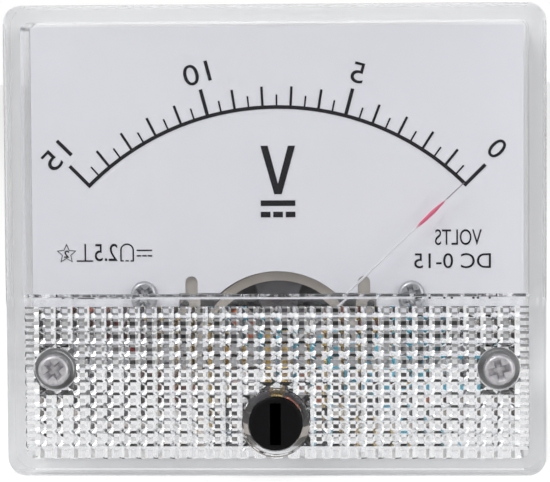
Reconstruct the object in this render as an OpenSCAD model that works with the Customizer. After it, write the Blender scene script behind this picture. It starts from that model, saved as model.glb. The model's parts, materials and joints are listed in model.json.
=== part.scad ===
// Analog panel meter: a moving-coil movement behind a clear moulded cover,
// in a white base with a round barrel that passes through the panel.
// The part is drawn looking at its face: x to the right, y up, z towards the
// viewer, z = 0 on the panel. seen_from_front() turns that into the part frame.

/* [Case] */
// Width of the face
face_w = 64; // [62:0.5:66]
// Height of the face
face_h = 56; // [55:0.5:58]
// Radius of the upright corners
corner_r = 2.4; // [1.5:0.1:3]
// Thickness of the cover's side walls
wall = 2; // [1.6:0.1:2.2]
// Thickness of the base flange
flange_t = 3; // [2.5:0.1:3.5]
// Height of the window above the panel
front_z = 15.5; // [15:0.1:16.5]
// Height of the patterned band above the panel
band_z = 14; // [13.8:0.1:14.2]
// Diameter of the barrel behind the panel
barrel_d = 51; // [51:0.5:52]
// Depth of the barrel behind the panel
barrel_depth = 25; // [25:0.5:28]

/* [Prism pattern] */
// Column spacing of the moulded prisms
prism_w = 2.02; // [1.9:0.01:2.2]
// Row spacing of the moulded prisms
prism_h = 1.54; // [1.4:0.01:1.6]
// Depth of the grooves between the prisms
prism_d = 1.15; // [0.8:0.05:1.2]
// Share of a prism that is flat
prism_flat = 0.32; // [0.26:0.02:0.5]

/* [Dial] */
// Radius of the middle of the scale line
scale_r = 32; // [30:0.1:33]
// Half of the angle that the scale spans
scale_half = 45; // [40:1:46]
// Number of scale divisions
divisions = 30; // [10:10:40]
// 1 puts zero at the right of the dial, -1 at the left
zero_side = 1; // [-1:2:1]

/* [Movement] */
// Length of the needle from the pivot to its tip
needle_r = 30.8; // [28:0.1:31]
// Outer radius of the yoke ring
ring_r = 10.25; // [10.2:0.05:10.5]
// Degrees that the resting needle stands above the zero mark
rest_error = 0.6; // [0:0.1:1]
// Radius of the magnet core
core_r = 6.4; // [6:0.1:6.5]
// Turns in a hairspring
spring_turns = 4; // [3:1:5]

/* [Hidden] */

$fn = 48;
eps = 0.01;            // overshoot of a cutting tool past a face

// Face and barrel: the barrel axis is the origin, and the face sits above it
face_y = 1.8;
barrel_r = barrel_d / 2;
barrel_wall = 1.8;
floor_t = 2;
cavity_r = barrel_r - barrel_wall;
floor_z = -barrel_depth + floor_t;

// Cover
window_t = 2;
band_web = 1.25;
prism_tip_z = band_z - band_web - prism_d;
edge_r = 0.8;
step_top_y = -4.7;
step_bottom_y = -5.9;
inner_step_y = -5.9;
inner_step_run = 1.5;   // keeps the inner slope parallel to the outer one
cover_base_z = flange_t + 0.05;   // the posts take the load, and the rim stays just clear
band_bottom_y = face_y - face_h / 2;
collar_r = 4;
collar_top_z = 15.5;
adjuster_boss_z = 11.2;

// Screws that hold the cover, and the mounting studs on the same axes
cover_screw_x = 26.45;
cover_screw_y = -13.5;
screw_boss_r = 2.6;
screw_well_r = 2.35;
screw_well_z = 13;
pillar_top_z = 11;

// Axis of the movement and of the zero adjuster
pivot_y = -12.6;
scale_y = -14.4;
adjuster_y = -19.7;
crank_r = 0.55;        // offset of the adjuster's pin
pin_r = 0.4;

// Depths, from the dial back to the rear bearing
dial_z = 7.2;
dial_t = 0.5;
bracket_t = 0.5;
bracket_z = dial_z - dial_t;
opening_half = 11.9;    // half width of the opening at the foot of the dial
opening_top_y = -4.8;
notch_x = 10.4;
ring_front_z = 5;
ring_back_z = -4.6;
ring_wall = 1.1;
core_half = 4.4;
former_half_x = 6.9;
former_half_z = 5;
former_t = 0.35;
coil_out_x = 8.1;
coil_out_z = 6.2;
coil_half_y = 1.3;
frame_back_z = -10;
frame_front_z = -8.2;
bridge_z = 8.2;
bridge_t = 0.7;
lever_z = 9;
lever_t = 0.4;
needle_z = 9;
needle_t = 0.2;
pillar_x = 12.6;       // posts of the frame that carry the bridge
ear_x = 16.5;          // screws that hold the frame in the base
dial_screw_x = 16.1;
dial_screw_y = -4.9;
dial_screw_head_r = 1.6;

// Needle at zero, from the place of the zero mark as seen from the pivot
pointer_zero = zero_side * (atan2(scale_r * sin(scale_half),
    scale_r * cos(scale_half) + scale_y - pivot_y) - rest_error);

// Stops for the needle
stop_angle = 57.9;
stop_radius = 13.24;

// Terminals
terminal_x = 11;
terminal_y = 8;
terminal_r = 2;
terminal_end_z = -40.5;
neck_half = 0.55;

module seen_from_front() rotate([90, 0, 0]) children();

module at(x, y, z = 0) translate([x, y, z]) children();

module at_pivot(z = 0) at(0, pivot_y, z) children();

// A disc from z0 to z1
module disc(r, z0, z1) at(0, 0, z0) cylinder(r = r, h = z1 - z0);

// A rectangle with round corners, centred
module rounded(w, h, r) {
    square([w - 2 * r, h], center = true);
    square([w, h - 2 * r], center = true);
    for (sx = [-1, 1], sy = [-1, 1])
        translate([sx * (w / 2 - r), sy * (h / 2 - r)]) circle(r);
}

module rounded_block(w, h, r, z0, z1) at(0, face_y, z0)
    linear_extrude(z1 - z0) rounded(w, h, r);

// A ring from z0 to z1
module tube(r_out, r_in, z0, z1) difference() {
    disc(r_out, z0, z1);
    disc(r_in, z0 - eps, z1 + eps);
}

// Part of a ring, between two angles
module sector(r_in, r_out, from, to, z0, z1) rotate([0, 0, from])
    rotate_extrude(angle = to - from)
        translate([r_in, z0]) square([r_out - r_in, z1 - z0]);

// A block on the x axis from x0 to x1, w across
module bar(x0, x1, w, z0, z1) at(x0, -w / 2, z0) cube([x1 - x0, w, z1 - z0]);

// Points along an arc, for outlines
function arc(cx, cy, r, from, to, steps = 4) = [for (i = [0 : steps])
    let (a = from + (to - from) * i / steps) [cx + r * cos(a), cy + r * sin(a)]];

// ---- Clear cover: one moulding with a window, a prism band and a collar ----

// Outline of the cover seen from its side: y across, z up
function cover_side(top, bottom, base) = concat(
    [[bottom, base]],
    arc(bottom + edge_r, band_z - edge_r, edge_r, 180, 90),
    [[step_bottom_y, band_z], [step_top_y, front_z]],
    arc(top - edge_r, front_z - edge_r, edge_r, 90, 0),
    [[top, base]]);

module along_x(length) at(-length / 2, 0, 0)
    rotate([90, 0, 90]) linear_extrude(length) children();

module cover_outside() {
    top = face_y + face_h / 2;
    half = face_w / 2;
    intersection() {
        rounded_block(face_w, face_h, corner_r, cover_base_z, front_z);
        along_x(face_w + 2) polygon(cover_side(top, band_bottom_y, cover_base_z));
        at(0, top + 1, 0) rotate([90, 0, 0]) linear_extrude(face_h + 2)
            polygon(concat([[-half, cover_base_z]],
                arc(-half + edge_r, front_z - edge_r, edge_r, 180, 90),
                arc(half - edge_r, front_z - edge_r, edge_r, 90, 0),
                [[half, cover_base_z]]));
    }
}

module cover_cavity() {
    top = face_y + face_h / 2 - wall;
    intersection() {
        rounded_block(face_w - 2 * wall, face_h - 2 * wall, corner_r - 1.4,
            flange_t - 1, front_z);
        along_x(face_w) polygon([
            [band_bottom_y + wall, flange_t - 1], [band_bottom_y + wall, prism_tip_z],
            [inner_step_y, prism_tip_z], [inner_step_y + inner_step_run, front_z - window_t],
            [top, front_z - window_t], [top, flange_t - 1]]);
    }
}

// A groove with sloping sides, along x, open towards the movement
module groove(length, pitch) {
    half = pitch * (1 - prism_flat) / 2;
    along_x(length) polygon([[-half, prism_tip_z - eps], [half, prism_tip_z - eps],
        [half, prism_tip_z], [0, prism_tip_z + prism_d], [-half, prism_tip_z]]);
}

module prism_grooves() {
    columns = floor((face_w / 2 - wall) / prism_w);
    first_row = -5.75;
    rows = floor((first_row - band_bottom_y - wall) / prism_h);
    band_h = inner_step_y - band_bottom_y - wall;
    for (row = [0 : rows]) at(0, first_row - row * prism_h)
        groove(face_w - 2 * wall, prism_h);
    for (column = [-columns : columns])
        at(column * prism_w, band_bottom_y + wall + band_h / 2)
            rotate([0, 0, 90]) groove(band_h, prism_w);
}

module front_cover() color("whitesmoke", 0.35) difference() {
    union() {
        difference() {
            cover_outside();
            cover_cavity();
            prism_grooves();
        }
        for (side = [-1, 1]) at(side * cover_screw_x, cover_screw_y)
            disc(screw_boss_r, pillar_top_z, band_z - eps);
        at(0, adjuster_y) disc(collar_r, adjuster_boss_z, collar_top_z);
    }
    for (side = [-1, 1]) at(side * cover_screw_x, cover_screw_y) {
        disc(screw_well_r, screw_well_z, band_z + 1);
        disc(1.15, pillar_top_z - 1, band_z);
    }
    at(0, adjuster_y) {
        disc(3.3, 12.8, collar_top_z + 1);
        disc(1.9, adjuster_boss_z - 1, collar_top_z);
    }
}

// ---- White base: flange, rim, barrel, pillars ----

module base_housing() color("white") {
    terminals = [[-terminal_x, terminal_y], [terminal_x, terminal_y]];
    screws = [[-cover_screw_x, cover_screw_y], [cover_screw_x, cover_screw_y]];
    ears = [[-ear_x, pivot_y], [ear_x, pivot_y]];
    difference() {
        union() {
            rounded_block(face_w, face_h, corner_r, 0, flange_t);
            rounded_block(face_w - 2 * wall - 0.3, face_h - 2 * wall - 0.3, 1, 0, 4.6);
            disc(barrel_r, -barrel_depth, flange_t);
            for (p = screws) at(p.x, p.y) disc(2.5, 0, pillar_top_z);
            for (side = [-1, 1]) at(side * 25, 24) disc(2, 0, bracket_z);
        }
        difference() {
            union() {
                disc(cavity_r, floor_z, 12);
                at(0, 0, flange_t) linear_extrude(3) difference() {
                    translate([0, face_y]) rounded(face_w - 2 * wall - 2.9,
                        face_h - 2 * wall - 2.9, 0.5);
                    for (p = screws) translate(p) circle(2.5);
                    for (side = [-1, 1]) translate([side * 25, 24]) circle(2);
                }
            }
            for (p = ears) at(p.x, p.y) disc(3, floor_z - 1, frame_back_z);
            for (p = terminals) at(p.x, p.y) disc(5, floor_z - 1, floor_z + 1);
        }
        for (p = ears) at(p.x, p.y) disc(1.1, frame_back_z - 8, frame_back_z + 1);
        for (p = terminals) at(p.x, p.y)
            disc(terminal_r, -barrel_depth - 1, floor_z + 2);
        for (p = screws) at(p.x, p.y) {
            disc(1, 4.5, pillar_top_z + 1);
            disc(1.5, -1, 1);
            disc(2.3, 0.8, 2.8);
        }
    }
}

// ---- Fasteners ----

// A pan head screw with a cross recess, its seat at z = 0 and its shank behind
module pan_screw(head_r, head_h, shank_r, length) color("gainsboro") difference() {
    union() {
        disc(head_r, 0, head_h * 0.6);
        at(0, 0, head_h * 0.6)
            cylinder(r1 = head_r, r2 = head_r * 0.72, h = head_h * 0.4);
        disc(shank_r, -length, 0);
    }
    for (turn = [0, 90]) rotate([0, 0, turn])
        bar(-head_r * 0.58, head_r * 0.58, head_r * 0.26, head_h * 0.35, head_h + 1);
}

module cover_screw(side) at(side * cover_screw_x, cover_screw_y, screw_well_z)
    pan_screw(1.9, 1.3, 0.95, 8);

module dial_screw(side) at(side * dial_screw_x, dial_screw_y, dial_z)
    pan_screw(dial_screw_head_r, 1.1, 0.95, 5);

module bridge_screw(side) at(side * pillar_x, pivot_y, bridge_z + bridge_t)
    pan_screw(1.8, 1.1, 0.95, 4.5);

module frame_screw(side) at(side * ear_x, pivot_y, frame_front_z)
    pan_screw(2, 1.3, 1.05, 8);

// A hex nut from z0 to z1, across flats
module hex_nut(flats, hole_r, z0, z1) difference() {
    at(0, 0, z0) cylinder(r = flats / 2 / cos(30), h = z1 - z0, $fn = 6);
    disc(hole_r, z0 - 1, z1 + 1);
}

// A threaded stud from z0 to z1, with a plain neck where its thread runs out
module threaded_stud(r, z0, neck, z1) {
    disc(r, z0, neck - neck_half);
    disc(r * 0.85, neck - neck_half - eps, neck + neck_half + eps);
    disc(r, neck + neck_half, z1);
}

module mounting_stud(side) color("silver")
    at(side * cover_screw_x, cover_screw_y) {
        threaded_stud(1.5, -14, -7.4, 1);
        disc(2.3, 0.8, 2.8);
    }

module both_studs() for (side = [-1, 1])
    at(side * cover_screw_x, cover_screw_y) children();

module mounting_washers() color("silver") both_studs() tube(3.1, 1.6, -3.6, -3.1);

module mounting_spring_washers() color("gray") both_studs() difference() {
    tube(2.7, 1.6, -4.4, -3.6);
    bar(0, 3, 0.4, -5, -3);
}

module mounting_nuts() color("silver") both_studs() hex_nut(5.5, 1.5, -6.8, -4.4);

// ---- Zero adjuster ----

module zero_adjuster() color("black") at(0, adjuster_y) {
    difference() {
        union() {
            disc(3.2, 12.85, 15.7);
            at(0, 0, 15.7) cylinder(r1 = 3.2, r2 = 3, h = 0.2);
        }
        at(-0.575, -2.4, 14.6) cube([1.15, 4.8, 2]);
    }
    disc(1.8, 11.1, 12.9);
    at(0, 0, 10.6) cylinder(r1 = 1.7, r2 = 2.2, h = 0.5);
    at(0, -crank_r) disc(pin_r, 8.7, 10.7);
}

// ---- Dial ----

// The opening at the foot of the dial, where the movement shows
module dial_opening() {
    foot_y = -20;
    notch_y = -8;
    notch_r = 0.75;
    notch_h = 4.5;
    translate([-opening_half, foot_y]) square([2 * opening_half, opening_top_y - foot_y]);
    translate([0, pivot_y]) circle(ring_r + 0.2);
    for (side = [-1, 1]) translate([side * notch_x, notch_y]) {
        translate([-notch_r, 0]) square([2 * notch_r, notch_h]);
        translate([0, notch_h]) circle(notch_r);
    }
}

module dial_plate() color("ghostwhite") at(0, 0, bracket_z) linear_extrude(dial_t)
    difference() {
        translate([-29.6, -7.6]) square([59.2, 34.9]);
        dial_opening();
        for (side = [-1, 1]) translate([side * dial_screw_x, dial_screw_y]) circle(1.05);
    }

// Line and marks of the scale, as a layer of ink
module scale_print() color("black") at(0, scale_y, dial_z) {
    ink = 0.05;
    line = 0.22;
    sector(scale_r - line, scale_r + line, 90 - scale_half, 90 + scale_half, 0, ink);
    for (i = [0 : divisions]) rotate([0, 0, scale_half - 2 * scale_half * i / divisions]) {
        major = i % 10 == 0;
        mark = major ? 3.35 : i % 2 == 0 ? 2.5 : 1.5;
        width = major ? 0.42 : i % 2 == 0 ? 0.3 : 0.2;
        translate([-width / 2, scale_r - line, 0]) cube([width, mark + line, ink]);
    }
}

// Sheet behind the foot of the dial, with the ears that carry the stops
module stop_bracket() color("darkkhaki") at(0, 0, bracket_z - bracket_t)
    linear_extrude(bracket_t) difference() {
        translate([-18.4, -7.4]) square([36.8, 10]);
        translate([0, pivot_y]) circle(ring_r + 0.5);
        translate([-9.4, -8]) square([18.8, 3.2]);
        for (side = [-1, 1]) {
            translate([side * dial_screw_x, dial_screw_y]) circle(1.05);
            translate([side * stop_radius * sin(stop_angle),
                pivot_y + stop_radius * cos(stop_angle)]) circle(0.45);
        }
    }

module stop_peg(side) color("black")
    at(side * stop_radius * sin(stop_angle), pivot_y + stop_radius * cos(stop_angle))
        disc(0.45, bracket_z - bracket_t, needle_z + 0.9);

// ---- Fixed part of the movement ----

module movement_frame() color("dimgray") difference() {
    union() {
        at_pivot() {
            disc(9.4, frame_back_z, frame_front_z);
            bar(-ear_x, ear_x, 5, frame_back_z, frame_front_z);
            for (side = [-1, 1]) {
                at(side * ear_x, 0) disc(2.5, frame_back_z, frame_front_z);
                at(side * pillar_x, 0) disc(1.8, frame_back_z, bridge_z);
            }
            for (from = [72, 252]) {
                sector(core_r, ring_r - ring_wall - 0.05, from, from + 36,
                    frame_front_z - eps, ring_front_z - 0.3);
                sector(ring_r - ring_wall - 0.1, ring_r, from, from + 36,
                    frame_front_z - eps, ring_back_z);
            }
            disc(2.6, frame_back_z - 1, frame_front_z);
        }
        for (side = [-1, 1]) {
            at(side * dial_screw_x, dial_screw_y)
                disc(2.2, frame_back_z, bracket_z - bracket_t);
            at(side * dial_screw_x - 1.6, pivot_y, frame_back_z)
                cube([3.2, dial_screw_y - pivot_y, frame_front_z - frame_back_z]);
        }
    }
    at_pivot() {
        for (side = [-1, 1]) {
            at(side * pillar_x, 0) disc(0.95, 3, bridge_z + 1);
            at(side * ear_x, 0) disc(1.15, frame_back_z - 1, frame_front_z + 1);
        }
        disc(1.2, frame_back_z - 2, frame_front_z + 1);
    }
    for (side = [-1, 1]) at(side * dial_screw_x, dial_screw_y) disc(0.95, 1, bracket_z);
}

module yoke_ring() color("lightgray") at_pivot()
    tube(ring_r, ring_r - ring_wall, ring_back_z, ring_front_z);

module core_magnet() color("slategray") at_pivot()
    disc(core_r, -core_half, core_half);

module front_bridge() color("silver") at_pivot(bridge_z) linear_extrude(bridge_t)
    difference() {
        union() {
            square([2 * pillar_x, 3.6], center = true);
            for (side = [-1, 1]) translate([side * pillar_x, 0]) circle(2.4);
            circle(2.9);
            translate([4.2, 1]) square([1.6, 2.2]);
        }
        circle(1.2);
        for (side = [-1, 1]) translate([side * pillar_x, 0]) circle(1.05);
    }

// Bearing screw with its jewel seat at the near end; flip turns it for the rear
module facing(flip) mirror([0, 0, flip ? 1 : 0]) children();

module jewel_screw(flip) color("goldenrod") at_pivot() facing(flip) difference() {
    disc(1.2, 7.9, 11);
    disc(0.8, 7.8, 8.9);
    bar(-2, 2, 0.35, 10.5, 12);
}

module jewel(flip) color("crimson") at_pivot() facing(flip) difference() {
    disc(0.8, 8.2, 8.9);
    at(0, 0, 8.19) cylinder(r1 = 0.55, r2 = 0.05, h = 0.36);
}

module front_lock_nut() color("goldenrod") at_pivot() hex_nut(4, 1.2, 9.5, 10.3);

module rear_lock_nut() color("goldenrod") at_pivot()
    hex_nut(4, 1.2, frame_back_z - 1.8, frame_back_z - 1);

// ---- Zero lever, hairsprings and their anchors ----

// A ribbon wound from r0 to r1, starting at angle a0
module spiral(r0, r1, turns, a0, ribbon, z0, z1) {
    steps = 20 * turns;
    function ring_at(i, off) = let (a = a0 + 360 * turns * i / steps,
        r = r0 + (r1 - r0) * i / steps + off) [r * cos(a), r * sin(a)];
    at(0, 0, z0) linear_extrude(z1 - z0) polygon(concat(
        [for (i = [0 : steps]) ring_at(i, -ribbon / 2)],
        [for (i = [steps : -1 : 0]) ring_at(i, ribbon / 2)]));
}

module front_hairspring() color("peru") at_pivot()
    spiral(1.1, 3.3, spring_turns, 105, 0.12, 7.35, 7.8);

module rear_hairspring() color("peru") at_pivot()
    spiral(1.1, 3.3, spring_turns, 285, 0.12, -7.8, -7.35);

module zero_lever() color("goldenrod") at_pivot() {
    reach = pivot_y - adjuster_y + crank_r;
    at(0, 0, lever_z) linear_extrude(lever_t) difference() {
        union() {
            circle(2);
            translate([-0.9, -reach]) square([1.8, reach]);
            translate([-1.3, -reach - 1]) square([2.6, 2.4]);
            rotate(105) translate([0, -0.6]) square([4, 1.2]);
        }
        circle(1.25);
        translate([-pin_r - 0.1, -reach - 2]) square([2 * pin_r + 0.2, 2.8]);
    }
    rotate([0, 0, 105]) bar(3.32, 3.9, 1, 7.35, lever_z + lever_t / 2);
}

module rear_spring_anchor() color("goldenrod") at_pivot() rotate([0, 0, 285]) {
    bar(3.32, 3.9, 1.2, frame_front_z, -7.35);
    bar(3.36, 6, 1.2, frame_front_z, frame_front_z + 0.3);
}

// ---- Moving coil ----

module on_coil() at_pivot() rotate([0, 0, -pointer_zero]) children();

module loop(out_x, out_z, in_x, in_z, half_y, r) at(0, half_y, 0)
    rotate([90, 0, 0]) linear_extrude(2 * half_y) difference() {
        rounded(2 * out_x, 2 * out_z, r);
        rounded(2 * in_x, 2 * in_z, r * 0.4);
    }

module coil_former() color("silver") on_coil() {
    out_x = former_half_x + former_t;
    out_z = former_half_z + former_t;
    loop(out_x, out_z, former_half_x, former_half_z, coil_half_y, 0.5);
}

module coil_winding() color("sienna") on_coil()
    loop(coil_out_x, coil_out_z, former_half_x + former_t, former_half_z + former_t,
        coil_half_y - 0.15, 1.1);

module pivot(flip) color("lightsteelblue") on_coil() facing(flip) {
    disc(1.25, coil_out_z, 6.35);
    disc(0.5, 6.35, 6.9);
    disc(0.9, 6.9, 7.84);
    disc(0.4, 7.84, 8.05);
    at(0, 0, 8.05) cylinder(r1 = 0.4, r2 = 0.02, h = 0.36);
}

// Flat cross that carries the needle and the balance weights
module balance_cross() color("silver") on_coil() difference() {
    union() {
        disc(1.4, 6.35, 6.65);
        for (turn = [0, 180, 270]) rotate([0, 0, turn]) bar(0, 6.6, 0.5, 6.35, 6.65);
    }
    disc(0.5, 6, 7);
}

// Half width of the needle along its length: stem, painted blade, fine tip
needle_outline = [[1.3, 0.25], [5, 0.19], [11, 0.14], [22.8, 0.11], [24.4, 0.22],
    [25.8, 0.24], [27.9, 0.06]];

module pointer() color("whitesmoke") on_coil() {
    root_z = 6.65;
    root_t = 0.25;
    tube(1.3, 0.5, root_z, root_z + root_t);
    intersection() {
        at(0, 0, root_z) linear_extrude(4) polygon(concat(
            [for (p = needle_outline) [p.y, p.x]], [[0.05, needle_r], [-0.05, needle_r]],
            [for (i = [len(needle_outline) - 1 : -1 : 0])
                [-needle_outline[i].y, needle_outline[i].x]]));
        at(-1, 0, 0) rotate([90, 0, 90]) linear_extrude(2) polygon([
            [1, root_z], [5, root_z], [11, needle_z - needle_t / 2],
            [needle_r + 1, needle_z - needle_t / 2],
            [needle_r + 1, needle_z + needle_t / 2],
            [10.9, needle_z + needle_t / 2], [4.9, root_z + root_t],
            [1, root_z + root_t]]);
    }
}

// A sleeve on an arm of the cross; lift keeps it clear of the winding
module weight(r, from, to, lift) difference() {
    at(from, 0, 6.5 + lift) rotate([0, 90, 0]) cylinder(r = r, h = to - from);
    bar(from - 1, to + 1, 0.5, 6.35, 6.65);
}

module tail_weight() color("silver") on_coil() rotate([0, 0, 270])
    weight(0.75, 4.7, 5.8, 0);

module side_weights() color("silver") on_coil() for (turn = [0, 180])
    rotate([0, 0, turn]) weight(0.5, 4.3, 5.9, 0.28);

// ---- Terminals ----

module at_terminal(side) at(side * terminal_x, terminal_y) children();

module both_terminals() for (side = [-1, 1]) at_terminal(side) children();

module terminal_stud(side) color("gold") at_terminal(side)
    threaded_stud(terminal_r, terminal_end_z, -barrel_depth - 8.8, floor_z + 6.2);

// A lug with an eye for the stud and a tail with a hole for the wire
module lug(z, tail) color("gainsboro") at(0, 0, z) linear_extrude(0.5)
    difference() {
        union() {
            circle(3.9);
            translate([-1.5, 0]) square([3, tail - 1.5]);
            translate([0, tail - 1.5]) circle(1.5);
        }
        circle(terminal_r + 0.1);
        translate([0, tail - 1.5]) circle(0.7);
    }

module inner_lug(side) at_terminal(side) rotate([0, 0, -side * lug_turn])
    lug(floor_z + 1, 8);

module outer_lug(side) at_terminal(side)
    lug(-barrel_depth - 4.4, 9.5);

module inner_nuts() color("gold") both_terminals()
    hex_nut(7, terminal_r, floor_z + 1.5, floor_z + 4.3);

module clamp_nuts() color("gold") both_terminals()
    hex_nut(7, terminal_r, -barrel_depth - 3.9, -barrel_depth - 0.8);

module terminal_washers() color("gold") both_terminals() {
    tube(4.5, terminal_r + 0.1, -barrel_depth - 0.8, -barrel_depth);
    tube(4.2, terminal_r + 0.1, -barrel_depth - 5.1, -barrel_depth - 4.4);
}

module terminal_nuts() color("gold") both_terminals()
    hex_nut(7, terminal_r, -barrel_depth - 8.2, -barrel_depth - 5.1);

// ---- Series resistor and wires ----

resistor_y = 16.5;
resistor_z = -13;

module resistor_body() color("tan") at(0, resistor_y, resistor_z)
    rotate([0, 90, 0]) {
        disc(1.1, -2.6, 2.6);
        for (end = [-1, 1]) at(0, 0, end * 2.9) disc(1.3, -0.7, 0.7);
    }

// A round lead or wire swept along points, closed at both ends
function unit(v) = v / norm(v);
function tangent(path, i) = unit(path[min(i + 1, len(path) - 1)] - path[max(i - 1, 0)]);
function side_of(t) = unit(cross(t, abs(t.z) < 0.9 ? [0, 0, 1] : [1, 0, 0]));
function carried(path, i) = i == 0 ? side_of(tangent(path, 0)) :
    let (s = carried(path, i - 1), t = tangent(path, i)) unit(s - t * (s * t));
function curve(p, i, u) = let (n = len(p) - 1, a = p[max(i - 1, 0)], b = p[i],
    c = p[min(i + 1, n)], d = p[min(i + 2, n)])
    ((2 * b) + (c - a) * u + (2 * a - 5 * b + 4 * c - d) * u * u
        + (3 * b - a - 3 * c + d) * u * u * u) / 2;
function smoothed(p, steps) = concat([for (i = [0 : len(p) - 2], k = [0 : steps - 1])
    curve(p, i, k / steps)], [p[len(p) - 1]]);

module swept(points, r, steps = 4, sides = 8) {
    path = smoothed(points, steps);
    n = len(path);
    rings = [for (i = [0 : n - 1]) let (t = tangent(path, i), s = carried(path, i),
        b = cross(t, s)) for (k = [0 : sides - 1]) let (a = 360 * k / sides)
        path[i] + r * (cos(a) * s + sin(a) * b)];
    walls = [for (i = [0 : n - 2], k = [0 : sides - 1]) let (m = (k + 1) % sides)
        [i * sides + k, i * sides + m, (i + 1) * sides + m, (i + 1) * sides + k]];
    polyhedron(rings, concat([[for (k = [sides - 1 : -1 : 0]) k]], walls,
        [[for (k = [0 : sides - 1]) (n - 1) * sides + k]]), convexity = 6);
}

lug_turn = 25;
lug_hole_r = 6.5;
lug_hole_x = terminal_x + lug_hole_r * sin(lug_turn);
lug_hole_y = terminal_y + lug_hole_r * cos(lug_turn);
lug_top_z = floor_z + 1.5;

module resistor_leads() color("silver") {
    swept([[-3.6, resistor_y, resistor_z], [-5.2, resistor_y, resistor_z],
        [-6.6, resistor_y, resistor_z]], 0.3);
    swept([[3.6, resistor_y, resistor_z], [6.5, resistor_y, resistor_z],
        [10, 16.2, -14.5], [13.2, 14.4, -18.5],
        [lug_hole_x, lug_hole_y, lug_top_z]], 0.3);
}

blue_route = [[5, -10.1, 9.36], [9.2, -12, 10.4], [13.7, -16, 10.3], [16.3, -16.4, 6.5],
    [18, -13.4, 1.5], [20.6, -9, -5], [19, -1, -8.5], [10, 8, -8.5], [0, 13.4, -9],
    [-5.6, 16, -11], [-6.6, resistor_y, resistor_z]];

red_route = [[-1.6, -18.8, -10.5], [-5, -19.6, -12], [-12.2, -18.4, -9.5], [-17, -14.7, -3.8],
    [-20.2, -9.8, -3], [-19.8, -4.5, -9], [-18, 6, -14.5], [-15.2, 12.6, -18.4],
    [-lug_hole_x, lug_hole_y, lug_top_z]];

module blue_wire() color("deepskyblue") swept(blue_route, 0.45);

module red_wire() color("red") swept(red_route, 0.45);

// ---- Nodes ----

seen_from_front() front_cover();
seen_from_front() base_housing();
seen_from_front() cover_screw(-1);  // cover_screw_left
seen_from_front() cover_screw(1);  // cover_screw_right
seen_from_front() zero_adjuster();
seen_from_front() dial_plate();
seen_from_front() scale_print();
seen_from_front() dial_screw(-1);  // dial_screw_left
seen_from_front() dial_screw(1);  // dial_screw_right
seen_from_front() stop_bracket();
seen_from_front() stop_peg(-1);  // stop_peg_left
seen_from_front() stop_peg(1);  // stop_peg_right
seen_from_front() movement_frame();
seen_from_front() yoke_ring();
seen_from_front() core_magnet();
seen_from_front() front_bridge();
seen_from_front() bridge_screw(-1);  // bridge_screw_left
seen_from_front() bridge_screw(1);  // bridge_screw_right
seen_from_front() jewel_screw(false);  // front_jewel_screw
seen_from_front() jewel(false);  // front_jewel
seen_from_front() front_lock_nut();
seen_from_front() jewel_screw(true);  // rear_jewel_screw
seen_from_front() jewel(true);  // rear_jewel
seen_from_front() rear_lock_nut();
seen_from_front() frame_screw(-1);  // frame_screw_left
seen_from_front() frame_screw(1);  // frame_screw_right
seen_from_front() zero_lever();
seen_from_front() front_hairspring();
seen_from_front() rear_hairspring();
seen_from_front() rear_spring_anchor();
seen_from_front() coil_former();
seen_from_front() coil_winding();
seen_from_front() pivot(false);  // front_pivot
seen_from_front() pivot(true);  // rear_pivot
seen_from_front() balance_cross();
seen_from_front() pointer();
seen_from_front() tail_weight();
seen_from_front() side_weights();
seen_from_front() mounting_stud(-1);  // mounting_stud_left
seen_from_front() mounting_stud(1);  // mounting_stud_right
seen_from_front() mounting_washers();
seen_from_front() mounting_spring_washers();
seen_from_front() mounting_nuts();
seen_from_front() terminal_stud(-1);  // terminal_stud_positive
seen_from_front() terminal_stud(1);  // terminal_stud_negative
seen_from_front() inner_lug(-1);  // inner_lug_positive
seen_from_front() inner_lug(1);  // inner_lug_negative
seen_from_front() inner_nuts();
seen_from_front() clamp_nuts();
seen_from_front() outer_lug(-1);  // outer_lug_positive
seen_from_front() outer_lug(1);  // outer_lug_negative
seen_from_front() terminal_washers();
seen_from_front() terminal_nuts();
seen_from_front() resistor_body();
seen_from_front() resistor_leads();
seen_from_front() blue_wire();
seen_from_front() red_wire();
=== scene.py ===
import json
import math

import bmesh
import bpy
from mathutils import Matrix, Vector


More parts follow.
